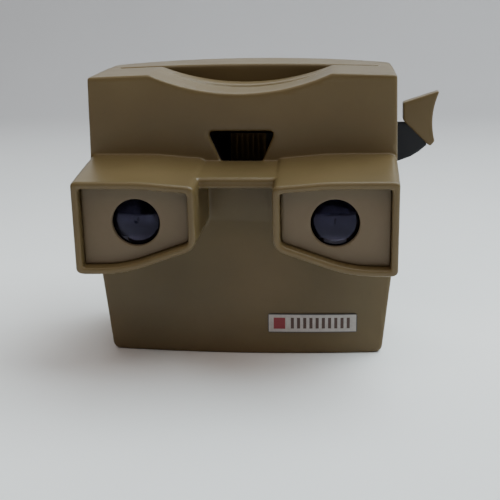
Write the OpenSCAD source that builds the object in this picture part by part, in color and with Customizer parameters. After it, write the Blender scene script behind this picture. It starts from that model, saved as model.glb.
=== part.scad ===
// Stereo viewer for 90 mm picture reels.
// Frame: origin at the centre of the flat base, +X towards the advance lever, -Y towards the eyes, +Z up.
// The plane y = 0 is the plane of the reel.

/* [Casing] */
// Greatest width
body_w = 104.6; // [103:0.2:105]
// Width of the foot
foot_w = 96.8; // [95:0.2:98]
// Width of the top
top_w = 103.4; // [102:0.2:104]
// Height at the top corners
body_h = 98; // [97:0.1:99]
// Rise of the top between its corners
crown = 1.1; // [0.4:0.1:1.6]
// Wall thickness of both shells
wall = 2.2; // [1.8:0.1:2.6]
// Distance from the reel to the upper front face
front_depth = 29; // [28:0.5:31]
// Distance from the reel to the middle of the back
rear_depth = 25; // [23:0.2:26]
// Forward bow of the foot between its corners
foot_bow = 3; // [2:0.2:4]
// How far the base stands in front of the crease at its corners
foot_lean = 1.2; // [0.4:0.2:1.6]

/* [Eyepieces] */
// Width across the front of the two hoods
hood_w = 103; // [101:0.2:103]
// Distance between the two lens axes
eye_spacing = 63.5; // [63:0.1:64]
// Height of the lens axes and of the reel's centre
axis_z = 55; // [54.5:0.1:55.5]
// How far the hoods stand in front of the upper face
hood_reach = 30.3; // [29:0.1:32]
// How far the eyepiece panels lie inside the hoods
panel_recess = 3.6; // [3:0.1:3.9]
// Diameter of the eyepiece holes
eye_hole_d = 15.4; // [14:0.1:16]
// Diameter of the lenses
lens_d = 18.2; // [17.6:0.1:18.6]
// Radius of both lens faces
lens_face_r = 22; // [20:0.5:26]

/* [Reel slot and scoop] */
// Width of the reel slot
slot_w = 92.4; // [91.5:0.1:93]
// Clear depth of the reel slot
slot_gap = 4.4; // [4.3:0.1:4.8]
// Width of the thumb scoop at the top
scoop_w = 62.8; // [58:0.2:64]
// Depth of the thumb scoop
scoop_depth = 6.8; // [6:0.2:7]

/* [Mechanism] */
// Swing of the advance lever, one picture of a seven-picture reel
lever_swing = 51.4; // [50:0.1:52]
// Radius at which the pawl meets the reel
pawl_r = 40.5; // [40:0.1:41]
// Thickness of the two gate plates
gate_t = 1.2; // [1:0.1:1.4]
// Thickness of the lever arm
arm_t = 1.5; // [1.2:0.1:1.6]
// Radius of the centre pin
pin_r = 2; // [1.8:0.05:2.1]

/* [Hidden] */
$fn = 96;

// Fits: a running pin or shaft, and parts that only lie against each other
run_gap = 0.05;
lie_gap = 0.1;

// Casing levels
front_y = -front_depth;
hood_y = front_y - hood_reach;
nose_y = front_y + 2.1;
split_y = slot_gap / 2;
hip_z = 37;
crease_z = 48;
brow_z = 72;
ledge_z = 64.6;
foot_r = 2.6;
crown_steps = 16;
bow_steps = 16;
past = 1;

// Back: a shallow bow with round corners
rear_bow_r = 136;
rear_corner_r = 9;
// The rear shell's top is this much lower, so the reel slot hides behind the front shell
rear_drop = 0.1;

// Front edge of the scoop's raised lip
lip_y = -12.4;

// Hoods
hood_wall = 2.4;
hood_inner_x = 12.2;
hood_tilt = 5.4;

// Bridge between the hoods
bridge_reach = 20.7;
bridge_half_w = 13;
bridge_z = 69.4;
bridge_front_z = 68.1;
bridge_lip = 0.4;

// Caption window
caption_top_z = 79.6;
caption_low_half_w = 7;
caption_top_half_w = 11.4;
chute_wall = 0.9;
chute_drop = 5;

// Gate plates lie on both sides of the reel
front_gate_y = -slot_gap / 2 - 0.4;
rear_gate_y = slot_gap / 2 + 0.4;
gate_w = 91;
gate_low_z = 9;
gate_high_z = 87.5;
window_w = 12;
window_h = 11;

// Two tongues join the shells at the top, outside the reel's path, and two screws at the foot
tongue_x = slot_w / 2 + 0.4;
tongue_t = 1.4;
tongue_z = 80;
tongue_h = 10;
tongue_l = 8;

// Screw places, given for the right side and repeated on the left
case_spot = [38.5, 10];
front_gate_spots = [[36, 82], [36, 26]];
rear_gate_spots = [[40, 78], [34, 18]];
case_boss_r = 3.4;
case_screw_r = 1.45;
case_head_r = 3;
case_head_y = 8;
gate_post_r = 2.6;
gate_screw_r = 0.9;
gate_head_r = 1.9;
gate_head_t = 0.9;

// Lens seats, measured back from the panel's front face
panel_t = 2;
panel_y = hood_y + panel_recess;
seat_y = panel_y + 1.8;
cup_y = panel_y + 6.5;
cup_r = lens_d / 2 + 2.1;
lens_edge_t = 1.6;
ring_t = 1.4;
ring_bore_r = 7.4;

// Centre bush and pin
bush_r = 6;
bush_neck_r = 5;
bush_flange_r = 8;
bush_end_y = 9.5;
pin_tip_y = -1.6;
pin_head_r = 3.6;
pin_head_y = bush_end_y + 0.3;
pin_head_t = 1;
spring_post = [0, 77];
spring_post_r = 3;
leaf_w = 5;
leaf_t = 0.3;
leaf_y = pin_head_y + pin_head_t + 0.1;

// Lever arm
arm_y = rear_gate_y + gate_t + 0.8;
hub_r = 9.5;
clip_r = 8.4;
clip_t = 0.7;
slot_low_z = 11.5;
slot_high_z = 79.5;
lever_slot_d = 6.4;
tab_d = 5;

// Return spring between the lever's ear and the gate's post
ear_r = 14;
ear_angle = 140;
ear_spot = [ear_r * cos(ear_angle), axis_z + ear_r * sin(ear_angle)];
hook_spot = [-33, 79];
coil_y = arm_y + arm_t + 2.6;
coil_r = 1.9;
coil_wire_r = 0.3;
coil_turns = 12;
coil_steps = 12;
coil_sides = 6;
coil_pitch = 1.05;
eye_r = 1.7;
eye_steps = 10;

// Pawl, with the lever at rest
pawl_z = axis_z - pawl_r;
pawl_pivot = [9, arm_y + arm_t + 1.8];
pawl_pin_r = 0.7;
pawl_tip_y = -0.9;
pawl_h = 2.6;

// Label plate on the foot
label_x = 23.9;
label_z = 11.55;
label_w = 31.4;
label_h = 6.8;
label_t = 0.5;

function unit(v) = v / norm(v);

// Points of the arc that rounds the corner b between a and c
function corner(a, b, c, r, n) =
    let (u = unit(a - b), v = unit(c - b), half = acos(u * v) / 2,
        centre = b + unit(u + v) * r / sin(half),
        p = b + u * r / tan(half) - centre,
        q = b + v * r / tan(half) - centre,
        from = atan2(p[1], p[0]),
        turn = (atan2(q[1], q[0]) - from + 540) % 360 - 180)
    r == 0 ? [b] : [for (i = [0:n]) centre + r * [cos(from + turn * i / n), sin(from + turn * i / n)]];

// An outline with each of its corners rounded by its own radius
function rounded(points, radii, n = 6) =
    let (last = len(points))
    [for (i = [0:last - 1])
        each corner(points[(i + last - 1) % last], points[i], points[(i + 1) % last], radii[i], n)];

function mirrored(points) = concat(points, [for (i = [len(points) - 1:-1:0]) [-points[i][0], points[i][1]]]);

function crown_z(x) = body_h + crown * (1 - pow(2 * x / top_w, 2));

// Extrudes an outline drawn in X and Z from y0 to y1
module along_y(y0, y1) {
    translate([0, y1, 0]) rotate([90, 0, 0]) linear_extrude(y1 - y0) children();
}

// A round bar along Y
module bar_y(r, y0, y1, spot = [0, axis_z]) {
    translate([spot[0], y0, spot[1]]) rotate([-90, 0, 0]) cylinder(r = r, h = y1 - y0);
}

module both_sides() {
    children();
    mirror([1, 0, 0]) children();
}

module on_eye(side) {
    translate([side * eye_spacing / 2, 0, 0]) children();
}

// Front view of the casing: tapered foot, upright sides, crowned top
module casing_outline(inset = 0, drop = 0) {
    foot = foot_w / 2 - inset;
    hip = body_w / 2 - inset;
    top = top_w / 2 - inset;
    side = concat(
        corner([0, inset], [foot, inset], [hip, hip_z], max(foot_r - inset, 0.4), 6),
        [[hip, hip_z], [hip, brow_z]],
        [for (i = [0:crown_steps]) let (x = top * (1 - i / crown_steps)) [x, crown_z(x) - inset - drop]]);
    polygon(mirrored(side));
}

// Plan of the casing behind the split: straight sides, round corners, bowed back
module rear_plan(inset = 0) {
    half = body_w / 2 - inset;
    bow = rear_bow_r - inset;
    edge_y = rear_depth - inset - bow + sqrt(pow(bow, 2) - pow(half, 2));
    side = concat(
        [[half, split_y - past]],
        corner([half, 0], [half, edge_y], [half - 20, edge_y + 6], rear_corner_r - inset, 10),
        [for (i = [1:bow_steps]) let (x = (half - 15) * (1 - i / bow_steps))
            [x, rear_depth - inset - bow + sqrt(pow(bow, 2) - pow(x, 2))]]);
    polygon(mirrored(side));
}

// Plan of the lower front at one level, bowed forward between its corners
module foot_plan(lean, bow, inset) {
    half = body_w / 2;
    polygon(concat(
        [[half, nose_y + 6], [-half, nose_y + 6]],
        [for (i = [0:2 * bow_steps]) let (x = -half + half * i / bow_steps)
            [x, nose_y + inset - lean - bow * max(1 - pow(2 * x / foot_w, 2), 0)]]));
}

// The lower front leans back from the bowed foot to the straight crease under the nose
module foot_mass(inset = 0) {
    intersection() {
        hull() {
            translate([0, 0, inset]) linear_extrude(0.01) foot_plan(foot_lean, foot_bow, inset);
            translate([0, 0, crease_z]) linear_extrude(0.01) foot_plan(0, 0, inset);
        }
        along_y(hood_y, split_y + past) casing_outline(inset);
    }
}

module front_mass(inset = 0) {
    back_y = inset > 0 ? split_y + past : split_y;
    intersection() {
        union() {
            translate([-body_w, nose_y + inset, 0]) cube([2 * body_w, back_y - nose_y - inset, 2 * body_h]);
            translate([-body_w, front_y + inset, ledge_z + inset])
                cube([2 * body_w, front_depth, body_h]);
        }
        along_y(hood_y, back_y) casing_outline(inset);
    }
    foot_mass(inset);
}

// Front view of the right hood's sides and floor, drawn high enough for the tilted top to cut
module hood_sides(inset) {
    half = body_w / 2;
    points = [[hood_inner_x, body_h], [hood_inner_x, 47], [36.1, 38.55], [half, 38.4], [half, body_h]];
    offset(delta = -inset) polygon(rounded(points, [0, 4.5, 46, 3, 0], 5));
}

// Arched top of the right hood
module hood_top(inset) {
    half = body_w / 2;
    points = [[hood_inner_x, 67.3], [30, 68.85], [half, 68.95], [half, 20], [hood_inner_x, 20]];
    offset(delta = -inset) polygon(rounded(points, [1.8, 60, 2.4, 0, 0], 5));
}

// Plan of the right hood: its outer side draws in towards the eyes
module hood_plan(inset) {
    wide = body_w / 2 - inset;
    narrow = hood_w / 2 - inset;
    start_y = hood_y - 2 * past;
    polygon([[0, start_y], [narrow, start_y], [wide, front_y], [wide, 0], [0, 0]]);
}

// The hood's top rises towards the body
module right_hood(y0, y1, inset = 0) {
    pivot = [0, hood_y, 69];
    intersection() {
        along_y(y0, y1) hood_sides(inset);
        linear_extrude(body_h) hood_plan(inset);
        translate(pivot) rotate([hood_tilt, 0, 0]) translate(-pivot)
            along_y(y0 - 15, y1 + 15) hood_top(inset);
    }
}

// Bridge between the hoods, its front edge lower than its back
module bridge() {
    front = front_y - bridge_reach;
    lip_h = 0.7;
    edge = 0.5;
    rotate([90, 0, 90]) translate([0, 0, -bridge_half_w]) linear_extrude(2 * bridge_half_w)
        polygon([[front, ledge_z], [front, ledge_z + lip_h], [front + bridge_lip, ledge_z + lip_h + 0.2],
            [front + bridge_lip, bridge_front_z - edge], [front + bridge_lip + edge, bridge_front_z],
            [front_y, bridge_z], [nose_y + wall, bridge_z], [nose_y + wall, ledge_z]]);
}

module caption_outline(spread = 0, drop = 0) {
    low = caption_low_half_w + spread;
    top = caption_top_half_w + spread;
    points = [[-low, bridge_z - spread - drop], [low, bridge_z - spread - drop],
        [top, caption_top_z + spread - drop], [-top, caption_top_z + spread - drop]];
    polygon(rounded(points, [0.4, 0.4, 1.1, 1.1], 4));
}

// Round trough across the top, as wide as the scoop at any depth
module trough(depth, start_y, end_y, grow) {
    r = (pow(scoop_w / 2, 2) + pow(depth, 2)) / (2 * depth);
    bar_y(r + grow, start_y, end_y, [0, crown_z(0) - depth + r]);
}

// Thumb scoop: a shallow trough with a raised lip along the reel slot
module scoop(lip = 0, grow = 0) {
    trough(scoop_depth, front_y - past, lip_y, grow);
    trough(scoop_depth - lip, lip_y - 0.1, split_y + past, grow);
}

module front_shell() {
    color([0.49, 0.42, 0.29]) difference() {
        union() {
            difference() {
                union() {
                    front_mass();
                    both_sides() right_hood(hood_y, nose_y + wall);
                    bridge();
                }
                difference() {
                    front_mass(wall);
                    scoop(0.9, wall);
                }
                both_sides() right_hood(hood_y - past, nose_y + wall + past, hood_wall);
            }
            both_sides() {
                bar_y(case_boss_r, nose_y + 1, split_y, case_spot);
                bar_y(gate_post_r, front_y + 1, front_gate_y - gate_t, front_gate_spots[0]);
                bar_y(gate_post_r, nose_y - 0.4, front_gate_y - gate_t, front_gate_spots[1]);
            }
        }
        scoop(0.9);
        translate([-slot_w / 2, -slot_gap / 2, gate_high_z]) cube([slot_w, slot_gap + past, body_h]);
        along_y(front_y - past, front_y + wall + past) caption_outline();
        both_sides() {
            bar_y(case_screw_r + run_gap, -13, split_y + past, case_spot);
            for (spot = front_gate_spots) bar_y(gate_screw_r + run_gap, -11, 0, spot);
        }
    }
}

// Light window in the back, with round corners
module back_window(grow = 0) {
    half = 42 + grow;
    points = [[-half, 37 - grow], [half, 37 - grow], [half, 73 + grow], [-half, 73 + grow]];
    along_y(4, rear_depth + past) polygon(rounded(points, [3, 3, 3, 3], 6));
}

module rear_mass(inset = 0) {
    start_y = inset > 0 ? split_y - past : split_y;
    intersection() {
        linear_extrude(2 * body_h) rear_plan(inset);
        along_y(start_y, rear_depth + past) casing_outline(inset, rear_drop);
    }
}

// Tongue of the rear shell that slides in behind the front shell's side wall
module tongue() {
    root = 3;
    translate([tongue_x, split_y - tongue_l, tongue_z]) cube([tongue_t, tongue_l + root, tongue_h]);
    translate([tongue_x, split_y, tongue_z]) cube([body_w / 2 - tongue_x - 1, root, tongue_h]);
}

module rear_shell() {
    color([0.49, 0.42, 0.29]) difference() {
        union() {
            difference() {
                rear_mass();
                rear_mass(wall);
                back_window();
            }
            intersection() {
                translate([-slot_w / 2, split_y, gate_high_z + 0.4]) cube([slot_w, 1.5, body_h]);
                rear_mass();
            }
            intersection() {
                both_sides() {
                    bar_y(case_boss_r + 1, split_y, rear_depth, case_spot);
                    for (spot = rear_gate_spots)
                        bar_y(gate_post_r, rear_gate_y + gate_t, rear_depth, spot);
                }
                rear_mass();
            }
            both_sides() tongue();
        }
        translate([body_w / 2 - 6, split_y - past, slot_low_z])
            cube([10, lever_slot_d + past, slot_high_z - slot_low_z]);
        both_sides() {
            bar_y(case_screw_r + 0.15, 0, rear_depth, case_spot);
            bar_y(case_head_r + 0.3, case_head_y, rear_depth + past, case_spot);
            for (spot = rear_gate_spots) bar_y(gate_screw_r + run_gap, 0, 12, spot);
        }
    }
}

module eyepiece(side) {
    color([0.42, 0.37, 0.29]) difference() {
        union() {
            intersection() {
                mirror([side < 0 ? 1 : 0, 0, 0]) right_hood(hood_y, nose_y, hood_wall + lie_gap);
                translate([-body_w, panel_y, 0]) cube([2 * body_w, panel_t, body_h]);
            }
            on_eye(side) bar_y(cup_r, panel_y + panel_t, cup_y);
        }
        on_eye(side) {
            bar_y(eye_hole_d / 2, panel_y - past, cup_y + past);
            bar_y(lens_d / 2 + run_gap, seat_y, cup_y + past);
        }
    }
}

module left_eyepiece() { eyepiece(-1); }

module right_eyepiece() { eyepiece(1); }

// Biconvex lens: two ball faces and a round edge
module lens(side) {
    edge_y = seat_y + 0.75;
    drop = sqrt(pow(lens_face_r, 2) - pow(lens_d / 2, 2));
    color([0.62, 0.70, 0.80]) on_eye(side) intersection() {
        bar_y(lens_d / 2, seat_y - 3, cup_y + 2);
        translate([0, edge_y + drop, axis_z]) rotate([90, 0, 0]) sphere(r = lens_face_r);
        translate([0, edge_y + lens_edge_t - drop, axis_z]) rotate([90, 0, 0]) sphere(r = lens_face_r);
    }
}

module left_lens() { lens(-1); }

module right_lens() { lens(1); }

module lens_ring(side) {
    color([0.10, 0.10, 0.11]) on_eye(side) difference() {
        bar_y(lens_d / 2, cup_y - ring_t, cup_y);
        bar_y(ring_bore_r, cup_y - ring_t - past, cup_y + past);
    }
}

module left_lens_ring() { lens_ring(-1); }

module right_lens_ring() { lens_ring(1); }

// Tapered tube that carries the light from a gate window to its lens
module tunnel_mass(grow, reach) {
    hull() {
        bar_y(8.2 + grow, cup_y + lie_gap - reach, cup_y + 1 + lie_gap, [0, axis_z]);
        translate([-window_w / 2 - grow, front_gate_y - gate_t - lie_gap - 1, axis_z - window_h / 2 - grow])
            cube([window_w + 2 * grow, 1 + reach, window_h + 2 * grow]);
    }
}

module light_tunnel(side) {
    color([0.09, 0.09, 0.10]) on_eye(side) difference() {
        tunnel_mass(1, 0);
        tunnel_mass(0, 0.5);
    }
}

module left_light_tunnel() { light_tunnel(-1); }

module right_light_tunnel() { light_tunnel(1); }

// Sloping chute from the caption window down to the gate
module chute_mass(spread, reach) {
    back_y = front_gate_y - gate_t - lie_gap;
    hull() {
        along_y(front_y + wall + lie_gap - reach, front_y + wall + 1) caption_outline(spread);
        along_y(back_y - 1, back_y + reach) caption_outline(spread, chute_drop);
    }
}

module caption_chute() {
    color([0.10, 0.10, 0.12]) difference() {
        chute_mass(chute_wall, 0);
        chute_mass(0, 0.5);
    }
}

module gate_outline(low_z) {
    difference() {
        translate([-gate_w / 2, low_z]) square([gate_w, gate_high_z - low_z]);
        both_sides() translate(case_spot) circle(r = case_boss_r + 1.4);
        both_sides() translate([eye_spacing / 2, axis_z]) square([window_w, window_h], center = true);
    }
}

module front_gate() {
    color([0.12, 0.12, 0.12]) difference() {
        along_y(front_gate_y - gate_t, front_gate_y) difference() {
            gate_outline(gate_low_z);
            translate([-6.5, 63.5]) square([13, 12.2]);
            translate([0, axis_z]) circle(r = 4);
        }
        both_sides() for (spot = front_gate_spots) {
            bar_y(gate_screw_r + lie_gap, front_gate_y - gate_t - past, 0, spot);
            bar_y(gate_head_r + lie_gap, front_gate_y - gate_head_t, 0, spot);
        }
    }
}

// Arc along which the pawl passes through the rear gate
module pawl_slot() {
    lead = 4;
    over = 9;
    translate([0, rear_gate_y - past, axis_z]) rotate([-90, 0, 0])
        rotate([0, 0, 90 - lead]) rotate_extrude(angle = lever_swing + lead + over)
            translate([pawl_r - 1.9, 0]) square([3.8, gate_t + 2 * past]);
}

module rear_gate() {
    color([0.36, 0.27, 0.17]) difference() {
        union() {
            along_y(rear_gate_y, rear_gate_y + gate_t) gate_outline(gate_low_z);
            for (x = [-5:2:5]) translate([x - 0.35, rear_gate_y - 0.35, 64]) cube([0.7, 0.5, 11]);
            bar_y(spring_post_r, rear_gate_y + gate_t - 0.1, leaf_y, spring_post);
            bar_y(1.2, rear_gate_y + gate_t - 0.1, coil_y + 1.2, hook_spot);
        }
        bar_y(bush_neck_r + run_gap, 0, rear_gate_y + gate_t + past);
        bar_y(gate_screw_r + run_gap, leaf_y - 5, leaf_y + past, spring_post);
        pawl_slot();
        both_sides() for (spot = rear_gate_spots) {
            bar_y(gate_screw_r + lie_gap, 0, rear_gate_y + gate_t + past, spot);
            bar_y(gate_head_r + lie_gap, 0, rear_gate_y + gate_head_t, spot);
        }
    }
}

// Small flat-headed screw. dir is +1 or -1: the way its point looks along Y.
module gate_screw(spot, head_y, dir) {
    translate([spot[0], head_y, spot[1]]) rotate([-90 * dir, 0, 0]) difference() {
        union() {
            cylinder(r = gate_head_r, h = gate_head_t);
            cylinder(r = gate_screw_r, h = 5);
        }
        translate([-gate_head_r, -0.2, -past]) cube([2 * gate_head_r, 0.4, past + 0.4]);
    }
}

module gate_screws() {
    color("silver") {
        both_sides() {
            for (spot = front_gate_spots) gate_screw(spot, front_gate_y, -1);
            for (spot = rear_gate_spots) gate_screw(spot, rear_gate_y, 1);
        }
        gate_screw(spring_post, leaf_y + leaf_t + gate_head_t, -1);
    }
}

module centre_bush() {
    flange_y = rear_gate_y + gate_t;
    color([0.72, 0.58, 0.30]) difference() {
        union() {
            bar_y(bush_neck_r, rear_gate_y, bush_end_y);
            bar_y(bush_flange_r, flange_y, arm_y - lie_gap);
            bar_y(bush_r, flange_y, arm_y + arm_t + lie_gap);
        }
        bar_y(pin_r + run_gap, 0, bush_end_y + past);
    }
}

module centre_pin() {
    taper = 0.8;
    color([0.75, 0.75, 0.77]) {
        bar_y(pin_r, pin_tip_y + taper, pin_head_y);
        translate([0, pin_tip_y, axis_z]) rotate([-90, 0, 0])
            cylinder(r1 = pin_r - taper, r2 = pin_r, h = taper);
        bar_y(pin_head_r, pin_head_y, pin_head_y + pin_head_t);
    }
}

// Leaf spring that holds the centre pin forward
module pin_spring() {
    color([0.80, 0.80, 0.82]) difference() {
        translate([-leaf_w / 2, leaf_y, axis_z - 3]) cube([leaf_w, leaf_t, spring_post[1] - axis_z + 6]);
        bar_y(gate_screw_r + lie_gap, leaf_y - past, leaf_y + past, spring_post);
    }
}

// Push-on ring that keeps the lever on its bush
module lever_clip() {
    clip_y = arm_y + arm_t + 0.3;
    color([0.70, 0.70, 0.72]) difference() {
        bar_y(clip_r, clip_y, clip_y + clip_t);
        bar_y(bush_neck_r + 0.03, clip_y - past, clip_y + clip_t + past);
        translate([-1.5, clip_y - past, axis_z - clip_r - past]) cube([3, clip_t + 2 * past, 5]);
    }
}

module blade_outline() {
    polygon([[3, 50], [30, 57.8], [54.7, 62.6], [59.2, 64.3], [62.2, 66.2], [64.9, 68.5], [64.4, 71],
        [61, 76], [56.6, 77.1], [54, 77.2], [30, 70], [3, 62]]);
}

module pawl_arm_outline() {
    polygon([[-7, axis_z - 4], [7, axis_z - 4], [12.5, 22], [12.5, 10.2], [-5.5, 10.2], [-5.5, 30]]);
}

module ear_outline() {
    polygon([[-8, 50], [0, 64], ear_spot + [1.5, 2.2], ear_spot + [-2.2, 1], ear_spot + [-2, -1.5]]);
}

module lever_arm() {
    top_y = arm_y + arm_t;
    color([0.08, 0.08, 0.09]) difference() {
        union() {
            along_y(arm_y, top_y) {
                blade_outline();
                translate([0, axis_z]) circle(r = hub_r);
                pawl_arm_outline();
                ear_outline();
            }
            bar_y(1, top_y - 0.1, coil_y + 1.2, ear_spot);
            for (z = [pawl_z - 4.1, pawl_z + 2.9])
                translate([pawl_pivot[0] - 1.6, top_y - 0.1, z]) cube([3.2, 3.6, 1.2]);
        }
        bar_y(bush_r + run_gap, arm_y - past, top_y + past);
        translate([-4.3, arm_y - past, pawl_z - 2]) cube([6.3, arm_t + 2 * past, 4]);
        translate([pawl_pivot[0], pawl_pivot[1], 0]) cylinder(r = pawl_pin_r, h = axis_z - 20);
    }
}

// Thumb tab: its outer face is hollowed for the finger
module tab_outline() {
    difference() {
        polygon(rounded([[55.8, 84.3], [56, 77.9], [65, 69.1], [66.1, 68.2], [67.6, 70.2], [69, 88.6]],
            [0.5, 0.4, 0.4, 0.8, 1, 0.5], 4));
        translate([93.3, 77.6]) circle(r = 26.7);
    }
}

module lever_tab() {
    mid_y = arm_y + arm_t / 2;
    color([0.47, 0.40, 0.26]) difference() {
        along_y(mid_y - tab_d / 2, mid_y + tab_d / 2) tab_outline();
        along_y(arm_y, arm_y + arm_t) blade_outline();
    }
}

// Centre line of the return spring along +Z: an eye, a straight wire, the coil, a straight wire, an eye
function eye_path(z, from, turn) =
    [for (i = [0:eye_steps]) let (a = from + turn * i / eye_steps) [eye_r * sin(a), 0, z + eye_r * cos(a)]];

function coil_path(start) =
    [for (i = [0:coil_turns * coil_steps]) let (a = 360 * i / coil_steps)
        [coil_r * cos(a), coil_r * sin(a), start + coil_pitch * i / coil_steps]];

// Sweeps a round wire along a path, turning its section no more than the path turns
module wire(path, r, sides) {
    last = len(path) - 1;
    along = [for (i = [0:last]) unit(path[min(i + 1, last)] - path[max(i - 1, 0)])];
    across = [for (i = 0, u = unit(cross(along[0], [0, 1, 0.01])); i <= last;
        i = i + 1, u = i > last ? u : unit(u - (u * along[i]) * along[i])) u];
    points = [for (i = [0:last], s = [0:sides - 1]) let (a = 360 * s / sides)
        path[i] + r * (cos(a) * across[i] + sin(a) * cross(along[i], across[i]))];
    skin = [for (i = [0:last - 1], s = [0:sides - 1])
        let (t = (s + 1) % sides, a = i * sides, b = a + sides)
        each [[a + s, b + s, b + t], [a + s, b + t, a + t]]];
    ends = [[for (s = [0:sides - 1]) s], [for (s = [sides - 1:-1:0]) last * sides + s]];
    polyhedron(points, concat(skin, ends), convexity = 10);
}

module return_spring() {
    span = norm(hook_spot - ear_spot);
    coil_l = coil_turns * coil_pitch;
    start = (span - coil_l) / 2;
    lean = atan2(hook_spot[0] - ear_spot[0], hook_spot[1] - ear_spot[1]);
    path = concat(eye_path(0, 60, 300), [[0, 0, eye_r + 1.5], [0, 0, start - 1.5]], coil_path(start),
        [[0, 0, start + coil_l + 1.5], [0, 0, span - eye_r - 1.5]], eye_path(span, 180, 300));
    color([0.72, 0.72, 0.74]) translate([ear_spot[0], coil_y, ear_spot[1]]) rotate([0, lean, 0])
        wire(path, coil_wire_r, coil_sides);
}

// Pawl: a barrel on its pin, a flat tongue and a hooked tip that reaches into the reel
module pawl() {
    back = pawl_pivot[1] + 0.3;
    color([0.70, 0.62, 0.42]) difference() {
        union() {
            translate([pawl_pivot[0], pawl_pivot[1], pawl_z - 2.6]) cylinder(r = 1.4, h = 5.2);
            translate([0, 0, pawl_z - pawl_h / 2]) linear_extrude(pawl_h)
                polygon([[pawl_pivot[0], back], [pawl_pivot[0], back - 1.1], [1.4, back - 1.1], [0.6, 4],
                    [-0.9, pawl_tip_y], [-1.5, pawl_tip_y], [-1.5, back]]);
        }
        translate([pawl_pivot[0], pawl_pivot[1], pawl_z - 5]) cylinder(r = pawl_pin_r + run_gap, h = 10);
    }
}

module pawl_pin() {
    color("silver") translate([pawl_pivot[0], pawl_pivot[1], pawl_z - 4.4])
        cylinder(r = pawl_pin_r, h = 8.8);
}

// Bent leaf on the lever that keeps the pawl's tip in the reel
module pawl_spring() {
    foot_y = arm_y + arm_t;
    rest_y = pawl_pivot[1] + 0.35;
    t = 0.25;
    color([0.80, 0.80, 0.82]) translate([0, 0, pawl_z - 1]) linear_extrude(2)
        polygon([[12.4, foot_y], [11.2, foot_y], [11.2, rest_y + 1.5], [9, rest_y + 1.5], [0.5, rest_y],
            [0.5, rest_y + t], [9, rest_y + 1.5 + t], [11.2 + t, rest_y + 1.5 + t], [11.2 + t, foot_y + t],
            [12.4, foot_y + t]]);
}

// Frosted light panel: a curved plate inside the back with a raised field that fills the window
module diffuser() {
    skin = wall + lie_gap;
    color([0.93, 0.92, 0.88, 0.8]) {
        difference() {
            intersection() {
                rear_mass(skin);
                back_window(2.4);
            }
            rear_mass(skin + 1.6);
            both_sides() for (spot = rear_gate_spots) bar_y(gate_post_r + lie_gap, 0, rear_depth, spot);
        }
        difference() {
            intersection() {
                rear_mass(0.7);
                back_window(-0.15);
            }
            rear_mass(skin + 0.5);
        }
    }
}

module case_screws() {
    tip_y = -11;
    color("silver") both_sides() difference() {
        union() {
            bar_y(case_screw_r, tip_y, case_head_y + 0.1, case_spot);
            bar_y(case_head_r, case_head_y + 0.02, case_head_y + 1.9, case_spot);
        }
        translate([case_spot[0] - case_head_r, case_head_y + 1.1, case_spot[1] - 0.4])
            cube([2 * case_head_r, past, 0.8]);
    }
}

// Thin plate that follows the bowed foot
module label_plate() {
    points = [[label_x - label_w / 2, label_z - label_h / 2], [label_x + label_w / 2, label_z - label_h / 2],
        [label_x + label_w / 2, label_z + label_h / 2], [label_x - label_w / 2, label_z + label_h / 2]];
    color([0.62, 0.60, 0.56]) difference() {
        intersection() {
            translate([0, -label_t, 0]) foot_mass();
            along_y(hood_y, -20) polygon(rounded(points, [0.8, 0.8, 0.8, 0.8], 4));
        }
        foot_mass();
    }
}

front_shell();
rear_shell();
left_eyepiece();
right_eyepiece();
left_lens();
right_lens();
left_lens_ring();
right_lens_ring();
left_light_tunnel();
right_light_tunnel();
caption_chute();
front_gate();
rear_gate();
gate_screws();
centre_bush();
centre_pin();
pin_spring();
lever_clip();
lever_arm();
lever_tab();
return_spring();
pawl();
pawl_pin();
pawl_spring();
diffuser();
case_screws();
label_plate();
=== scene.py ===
"""Looks of the stereo viewer: moulded shells, glass, gates, lever and a plain studio."""

import math

import bpy
import numpy as np
import openvdb
from mathutils import Matrix, Vector


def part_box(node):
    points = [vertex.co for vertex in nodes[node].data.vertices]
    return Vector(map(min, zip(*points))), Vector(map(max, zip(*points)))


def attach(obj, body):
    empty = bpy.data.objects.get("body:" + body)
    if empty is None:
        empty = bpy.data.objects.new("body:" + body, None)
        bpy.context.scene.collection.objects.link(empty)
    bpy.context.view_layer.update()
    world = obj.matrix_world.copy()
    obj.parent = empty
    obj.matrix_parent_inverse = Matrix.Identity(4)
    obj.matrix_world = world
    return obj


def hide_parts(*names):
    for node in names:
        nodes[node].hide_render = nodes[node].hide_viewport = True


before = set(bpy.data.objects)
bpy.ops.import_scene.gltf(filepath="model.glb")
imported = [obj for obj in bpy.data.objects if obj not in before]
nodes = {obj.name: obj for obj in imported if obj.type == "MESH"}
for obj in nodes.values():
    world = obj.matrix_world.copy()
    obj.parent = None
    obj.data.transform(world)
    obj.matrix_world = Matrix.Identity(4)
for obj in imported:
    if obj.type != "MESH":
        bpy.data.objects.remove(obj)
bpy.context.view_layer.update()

MM = 0.001

# ---------------------------------------------------------------- camera


def make_camera():
    """The camera stands a little right of the object and looks down at it, turned slightly to the left."""
    pitch, yaw, roll = math.radians(16.794), math.radians(5.413), math.radians(-1.179)
    forward = Vector((-math.sin(yaw) * math.cos(pitch), math.cos(yaw) * math.cos(pitch), -math.sin(pitch)))
    right = Vector((math.cos(yaw), math.sin(yaw), 0))
    up = right.cross(forward)
    turned_right = math.cos(roll) * right + math.sin(roll) * up
    turned_up = math.cos(roll) * up - math.sin(roll) * right
    data = bpy.data.cameras.new("camera")
    data.lens = 68.4
    data.sensor_width = 36
    data.clip_start = 0.01
    camera = bpy.data.objects.new("camera", data)
    bpy.context.scene.collection.objects.link(camera)
    turn = Matrix((turned_right, turned_up, -forward)).transposed().to_4x4()
    camera.matrix_world = Matrix.Translation(Vector((32.09, -344.37, 133.66)) * MM) @ turn
    bpy.context.scene.camera = camera


# ---------------------------------------------------------------- mesh helpers


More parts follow.
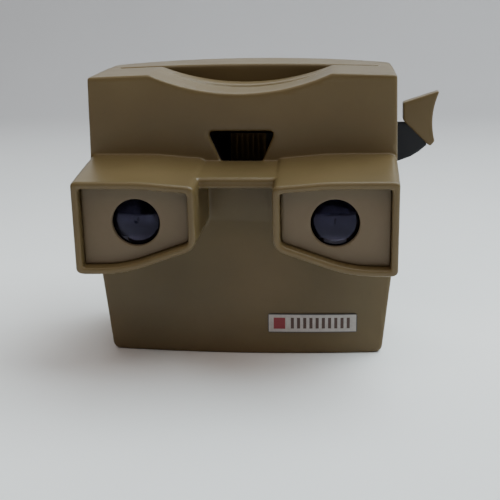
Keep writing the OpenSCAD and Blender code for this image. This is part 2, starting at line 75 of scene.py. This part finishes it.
def node_triangles(node):
    """Points and triangles of a CAD node, in metres."""
    mesh = nodes[node].data
    mesh.calc_loop_triangles()
    points = np.empty(len(mesh.vertices) * 3, np.float32)
    mesh.vertices.foreach_get("co", points)
    triangles = np.empty(len(mesh.loop_triangles) * 3, np.int32)
    mesh.loop_triangles.foreach_get("vertices", triangles)
    return points.reshape(-1, 3), triangles.reshape(-1, 3)


def blur_along(field, axis, sigma):
    reach = int(math.ceil(3 * sigma))
    weights = np.exp(-0.5 * (np.arange(-reach, reach + 1) / sigma) ** 2)
    weights /= weights.sum()
    pad = [(0, 0)] * 3
    pad[axis] = (reach, reach)
    padded = np.pad(field, pad, mode="edge")
    size = field.shape[axis]
    out = np.zeros_like(field)
    for shift, weight in enumerate(weights):
        cut = [slice(None)] * 3
        cut[axis] = slice(shift, shift + size)
        out += np.float32(weight) * padded[tuple(cut)]
    return out


def sample(field, at):
    """Trilinear value of a field at points given in voxels."""
    low = np.clip(np.floor(at).astype(int), 0, np.array(field.shape) - 2)
    part = at - low
    total = np.zeros(len(at), np.float32)
    for corner in range(8):
        step = np.array([corner & 1, corner >> 1 & 1, corner >> 2 & 1])
        weight = np.prod(np.where(step, part, 1 - part), axis=1)
        spot = low + step
        total += weight * field[spot[:, 0], spot[:, 1], spot[:, 2]]
    return total


def blurred(field, sigma):
    for axis in range(3):
        field = blur_along(field, axis, sigma)
    return field


def moulded(name, node, material, body, voxel, rounding, fillet):
    """A new piece with the shape of a CAD node whose edges are rounded as in a mould.
    The node's distance field is blurred and its surface taken again. Where the strong blur would fill
    an inner corner the weak one is kept, so outer edges get the rounding and inner corners only the
    fillet. voxel, rounding and fillet are in mm."""
    points, triangles = node_triangles(node)
    scale = 1 / (voxel * MM)
    band = 4
    adaptivity = 0.02
    grid = openvdb.FloatGrid.createLevelSetFromPolygons(
        points * scale, triangles=triangles.astype(np.uint32), halfWidth=band
    )
    margin = band + 2
    low = np.floor(points.min(0) * scale).astype(int) - margin
    high = np.ceil(points.max(0) * scale).astype(int) + margin
    field = np.full(tuple(high - low), float(band), np.float32)
    grid.copyToArray(field, ijk=tuple(int(i) for i in low))
    field = np.maximum(blurred(field, rounding / voxel), blurred(field, fillet / voxel))
    smooth = openvdb.FloatGrid(float(band))
    smooth.copyFromArray(field)
    made, faces = split_faces(smooth.convertToPolygons(isovalue=0.0, adaptivity=adaptivity))
    slope = [np.gradient(field, axis=axis) for axis in range(3)]
    normals = np.stack([sample(part, made) for part in slope], axis=1)
    normals /= np.maximum(np.linalg.norm(normals, axis=1, keepdims=True), 1e-9)
    mesh = bpy.data.meshes.new(name)
    mesh.from_pydata(((made + low) / scale).tolist(), [], faces)
    mesh.validate()
    mesh.shade_smooth()
    mesh.normals_split_custom_set_from_vertices([tuple(n) for n in normals])
    return new_piece(name, mesh, material, body, node)


def split_faces(converted):
    made, triangles, quads = converted
    faces = [tuple(face) for part in (triangles, quads) for face in part.tolist()]
    return np.asarray(made, np.float64), faces


def new_piece(name, mesh, material, body, *stands_for):
    piece = bpy.data.objects.new(name, mesh)
    bpy.context.scene.collection.objects.link(piece)
    mesh.materials.clear()
    mesh.materials.append(material)
    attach(piece, body)
    if stands_for:
        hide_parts(*stands_for)
    return piece


def bevelled(node, material, width):
    """Gives a CAD node its material and rounds its edges by width (mm) with modifiers only."""
    piece = nodes[node]
    piece.data.materials.clear()
    piece.data.materials.append(material)
    weld = piece.modifiers.new("weld", "WELD")
    weld.merge_threshold = 0.005 * MM
    flat = piece.modifiers.new("flat", "DECIMATE")
    flat.decimate_type = "DISSOLVE"
    flat.angle_limit = math.radians(0.5)
    if width:
        bevel = piece.modifiers.new("bevel", "BEVEL")
        bevel.width = width * MM
        bevel.segments = 2
        bevel.limit_method = "ANGLE"
        bevel.angle_limit = math.radians(35)


# ---------------------------------------------------------------- material helpers


class Nodes:
    """Small helper around one material's node tree."""

    def __init__(self, name):
        self.material = bpy.data.materials.new(name)
        self.material.use_nodes = True
        self.tree = self.material.node_tree
        self.shader = self.tree.nodes["Principled BSDF"]
        self.place = self.add("ShaderNodeTexCoord").outputs["Object"]

    def add(self, kind):
        return self.tree.nodes.new(kind)

    def link(self, source, target):
        self.tree.links.new(source, target)

    def noise(self, scale, detail=3.0, roughness=0.55, stretch=None):
        node = self.add("ShaderNodeTexNoise")
        node.inputs["Scale"].default_value = scale
        node.inputs["Detail"].default_value = detail
        node.inputs["Roughness"].default_value = roughness
        if stretch:
            mapping = self.add("ShaderNodeMapping")
            mapping.inputs["Scale"].default_value = stretch
            self.link(self.place, mapping.inputs["Vector"])
            self.link(mapping.outputs["Vector"], node.inputs["Vector"])
        else:
            self.link(self.place, node.inputs["Vector"])
        return node.outputs["Fac"]

    def ramp(self, value, *stops):
        """stops are (position, grey) or (position, (r, g, b))."""
        node = self.add("ShaderNodeValToRGB")
        elements = node.color_ramp.elements
        while len(elements) < len(stops):
            elements.new(0.5)
        for element, (position, shade) in zip(elements, stops):
            element.position = position
            colour = (shade, shade, shade) if isinstance(shade, (int, float)) else shade
            element.color = (*colour, 1)
        self.link(value, node.inputs["Fac"])
        return node.outputs["Color"]

    def mix(self, factor, first, second, blend="MIX"):
        node = self.add("ShaderNodeMix")
        node.data_type = "RGBA"
        node.blend_type = blend
        for source, socket in ((factor, 0), (first, 6), (second, 7)):
            if isinstance(source, (int, float)):
                node.inputs[socket].default_value = source
            elif isinstance(source, tuple):
                node.inputs[socket].default_value = (*source, 1)
            else:
                self.link(source, node.inputs[socket])
        return node.outputs[2]

    def bump(self, height, strength, distance):
        node = self.add("ShaderNodeBump")
        node.inputs["Strength"].default_value = strength
        node.inputs["Distance"].default_value = distance
        self.link(height, node.inputs["Height"])
        return node.outputs["Normal"]

    def math(self, operation, first, second=0.0):
        node = self.add("ShaderNodeMath")
        node.operation = operation
        for source, socket in ((first, 0), (second, 1)):
            if isinstance(source, bpy.types.NodeSocket):
                self.link(source, node.inputs[socket])
            else:
                node.inputs[socket].default_value = source
        return node.outputs[0]

    def between(self, value, low, high):
        """1 where the value lies between low and high, 0 elsewhere."""
        return self.both(self.math("GREATER_THAN", value, low), self.math("LESS_THAN", value, high))

    def both(self, first, second):
        return self.math("MULTIPLY", first, second)

    def set(self, **values):
        for key, value in values.items():
            socket = self.shader.inputs[key.replace("_", " ")]
            if isinstance(value, bpy.types.NodeSocket):
                self.link(value, socket)
            elif isinstance(value, tuple):
                socket.default_value = (*value, 1)
            else:
                socket.default_value = value
        return self.material


def srgb(r, g, b):
    """A colour given as 0-255 screen values."""
    return tuple(c / 255 / 12.92 if c < 10.3 else ((c / 255 + 0.055) / 1.055) ** 2.4 for c in (r, g, b))


def moulded_plastic(name, colour, gloss_low, gloss_high):
    """Old hard plastic: faint mottling, paler outer edges from wear and a painted edge highlight, darker
    inner corners from dust and painted shade, fine scratches.
    """
    m = Nodes(name)
    dark = tuple(c * 0.90 for c in colour)
    pale = tuple(min(c * 1.08, 1) for c in colour)
    base = m.ramp(m.noise(38, 4), (0.3, dark), (0.7, pale))
    speck = m.ramp(m.noise(900, 2), (0.62, 1.0), (0.75, 0.93))
    base = m.mix(1.0, base, speck, "MULTIPLY")
    edge = m.add("ShaderNodeNewGeometry").outputs["Pointiness"]
    rub_and_highlight_strength, dust_and_shade_strength = 0.35, 0.15
    rubbed_and_highlight_colour = tuple(min(c * 1.35, 1) for c in colour)
    dust_and_shade_colour = tuple(c * 0.55 for c in colour)
    # Paler outer edges: partly rubbed wear, partly a painted highlight along the edges.
    rubbed_and_highlight = m.ramp(edge, (0.53, 0.0), (0.62, 1.0))
    # Darker inner corners: partly dust, partly painted shade where less light reaches.
    dust_and_shade = m.ramp(edge, (0.42, 1.0), (0.49, 0.0))
    base = m.mix(m.mix(1.0, rubbed_and_highlight, (rub_and_highlight_strength,) * 3, "MULTIPLY"), base, rubbed_and_highlight_colour)
    base = m.mix(m.mix(1.0, dust_and_shade, (dust_and_shade_strength,) * 3, "MULTIPLY"), base, dust_and_shade_colour)
    smear = m.noise(14, 5, 0.6, (1.0, 1.0, 2.5))
    rough = m.ramp(smear, (0.3, gloss_low), (0.7, gloss_high))
    scratch = m.noise(260, 2, 0.5, (0.25, 1.0, 3.0))
    return m.set(
        Base_Color=base,
        Roughness=rough,
        Normal=m.bump(scratch, 0.06, 0.0002),
        Specular_IOR_Level=0.32,
        IOR=1.5,
    )


def plain_plastic(name, colour, roughness):
    m = Nodes(name)
    dark = tuple(c * 0.8 for c in colour)
    base = m.ramp(m.noise(90, 3), (0.3, dark), (0.7, colour))
    rough = m.ramp(m.noise(60, 3), (0.3, roughness * 0.85), (0.7, roughness * 1.15))
    grain = m.bump(m.noise(500, 2), 0.05, 0.0001)
    return m.set(Base_Color=base, Roughness=rough, Specular_IOR_Level=0.3, Normal=grain)


def metal(name, colour, roughness):
    m = Nodes(name)
    dark = tuple(c * 0.85 for c in colour)
    base = m.ramp(m.noise(200, 3), (0.3, dark), (0.7, colour))
    rough = m.ramp(m.noise(400, 3), (0.3, roughness * 0.8), (0.7, roughness * 1.2))
    return m.set(Base_Color=base, Roughness=rough, Metallic=1.0)


def lens_glass():
    m = Nodes("lens_glass")
    rough = m.ramp(m.noise(80, 3), (0.35, 0.0), (0.75, 0.04))
    return m.set(
        Base_Color=(0.34, 0.33, 0.46),
        Transmission_Weight=1.0,
        IOR=1.52,
        Specular_IOR_Level=0.2,
        Specular_Tint=(0.38, 0.36, 0.54),
        Roughness=rough,
    )


def frosted_panel():
    m = Nodes("frosted_panel")
    base = m.ramp(m.noise(120, 3), (0.3, (0.62, 0.61, 0.57)), (0.7, (0.70, 0.69, 0.65)))
    grain = m.bump(m.noise(900, 2), 0.2, 0.0001)
    return m.set(Base_Color=base, Roughness=0.5, Transmission_Weight=0.35, IOR=1.49, Normal=grain)


def printed_label(node):
    """Silver plate with a dark edge line, a plain red block and a row of plain upright bars."""
    low, high = (np.array(corner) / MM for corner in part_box(node))
    width, height = high[0] - low[0], high[2] - low[2]
    m = Nodes("printed_label")
    metal_grain = m.ramp(m.noise(700, 2), (0.3, (0.34, 0.31, 0.29)), (0.7, (0.42, 0.38, 0.36)))
    split = m.add("ShaderNodeSeparateXYZ")
    m.link(m.place, split.inputs["Vector"])
    across = m.math("DIVIDE", m.math("SUBTRACT", split.outputs["X"], low[0] * MM), width * MM)
    upward = m.math("DIVIDE", m.math("SUBTRACT", split.outputs["Z"], low[2] * MM), height * MM)
    block = m.both(m.between(across, 0.065, 0.195), m.between(upward, 0.2, 0.8))
    first, last, bars = 0.25, 0.945, 10
    from_first = m.math("SUBTRACT", across, first)
    place_in_bar = m.math("FRACT", m.math("MULTIPLY", from_first, bars / (last - first)))
    upright = m.both(m.between(place_in_bar, 0.12, 0.62), m.between(upward, 0.22, 0.8))
    bar_row = m.both(upright, m.between(across, first, last))
    line_x, line_z = 0.3 / width, 0.3 / height
    inside = m.both(m.between(across, line_x, 1 - line_x), m.between(upward, line_z, 1 - line_z))
    base = m.mix(bar_row, metal_grain, (0.07, 0.035, 0.03))
    base = m.mix(block, base, (0.22, 0.025, 0.035))
    base = m.mix(inside, (0.06, 0.05, 0.05), base)
    return m.set(Base_Color=base, Roughness=0.4, Metallic=0.25)


# ---------------------------------------------------------------- studio


def area_light(name, place, target, size, power, colour):
    data = bpy.data.lights.new(name, "AREA")
    data.shape = "RECTANGLE"
    data.size, data.size_y = size
    data.energy = power
    data.color = colour
    light = bpy.data.objects.new(name, data)
    light.location = place
    light.rotation_euler = (Vector(target) - Vector(place)).to_track_quat("-Z", "Y").to_euler()
    bpy.context.scene.collection.objects.link(light)


def make_studio():
    """A sweep of floor, round cove and wall, pale in front and greyer behind, under three soft lights:
    a large one above on the right, a low one behind and a weak warm one above the front."""
    near_end, cove_start, cove, wall_top, half = -9.0, 0.45, 0.35, 3.0, 6.0
    cove_steps = 16
    profile = [(near_end, 0.0), (cove_start, 0.0)]
    for step in range(1, cove_steps + 1):
        turn = math.radians(90 * step / cove_steps)
        profile.append((cove_start + cove * math.sin(turn), cove * (1 - math.cos(turn))))
    profile.append((cove_start + cove, wall_top))
    points = [(x, y, z) for y, z in profile for x in (-half, half)]
    faces = [(2 * i, 2 * i + 1, 2 * i + 3, 2 * i + 2) for i in range(len(profile) - 1)]
    mesh = bpy.data.meshes.new("floor")
    mesh.from_pydata(points, [], faces)
    mesh.shade_smooth()
    floor = bpy.data.objects.new("floor", mesh)
    bpy.context.scene.collection.objects.link(floor)
    m = Nodes("pale_floor")
    mottle = m.ramp(m.noise(6, 3), (0.3, 0.96), (0.7, 1.0))
    split = m.add("ShaderNodeSeparateXYZ")
    m.link(m.place, split.inputs["Vector"])
    # The colour greys from the pale front towards the cove and wall: painted shade where less light
    # reaches the back.
    near, shaded_far = (0.90, 0.90, 0.91), (0.38, 0.365, 0.38)
    base = m.mix(1.0, m.ramp(split.outputs["Y"], (0.0, near), (0.5, shaded_far)), mottle, "MULTIPLY")
    mesh.materials.append(m.set(Base_Color=base, Roughness=0.9))

    world = bpy.data.worlds.new("world")
    world.use_nodes = True
    world.node_tree.nodes["Background"].inputs["Color"].default_value = (0.86, 0.85, 0.88, 1)
    world.node_tree.nodes["Background"].inputs["Strength"].default_value = 0.06
    bpy.context.scene.world = world

    area_light("window", (0.60, 0.35, 1.15), (0, 0, 0.05), (1.9, 1.3), 44, (0.86, 0.98, 1.0))
    area_light("back", (-0.05, 0.72, 0.52), (0, 0, 0.08), (1.4, 0.5), 2.5, (1.0, 0.96, 0.86))
    area_light("fill", (-0.1, -0.85, 1.25), (0, 0, 0.05), (1.2, 0.8), 7, (1.0, 0.86, 0.78))


# ---------------------------------------------------------------- the object

make_camera()
make_studio()

shell = moulded_plastic("shell_plastic", srgb(98, 82, 53), 0.30, 0.42)
panel = moulded_plastic("panel_plastic", srgb(103, 89, 69), 0.42, 0.55)
black = plain_plastic("black_plastic", (0.008, 0.008, 0.012), 0.40)
chute = plain_plastic("chute_plastic", (0.020, 0.020, 0.034), 0.35)
brown = plain_plastic("brown_plastic", srgb(150, 116, 70), 0.5)
steel = metal("steel", (0.62, 0.62, 0.64), 0.3)
brass = metal("brass", (0.70, 0.52, 0.24), 0.3)
glass = lens_glass()
frosted = frosted_panel()
label = printed_label("label_plate")

for part_name, rounding in (("front_shell", 0.48), ("rear_shell", 0.60)):
    moulded(part_name + "_moulding", part_name, shell, "casing", 0.36, rounding, 0.22)
for side in ("left", "right"):
    eyepiece = moulded(side + "_eyepiece_moulding", side + "_eyepiece", panel, "casing", 0.22, 0.2, 0.14)
    bevelled(side + "_lens", glass, 0)
    bevelled(side + "_lens_ring", black, 0.15)
    bevelled(side + "_light_tunnel", black, 0)
bevelled("caption_chute", chute, 0)
bevelled("front_gate", black, 0)
bevelled("rear_gate", brown, 0)
bevelled("gate_screws", steel, 0.1)
bevelled("case_screws", steel, 0.15)
bevelled("centre_bush", brass, 0.2)
bevelled("centre_pin", steel, 0.15)
for part_name in ("pin_spring", "lever_clip", "pawl_pin", "pawl_spring", "return_spring"):
    bevelled(part_name, steel, 0)
bevelled("pawl", brass, 0.1)
bevelled("diffuser", frosted, 0)
bevelled("label_plate", label, 0)
moulded("lever_tab_moulding", "lever_tab", shell, "lever", 0.16, 0.3, 0.16)
moulded("lever_arm_moulding", "lever_arm", black, "lever", 0.2, 0.2, 0.14)
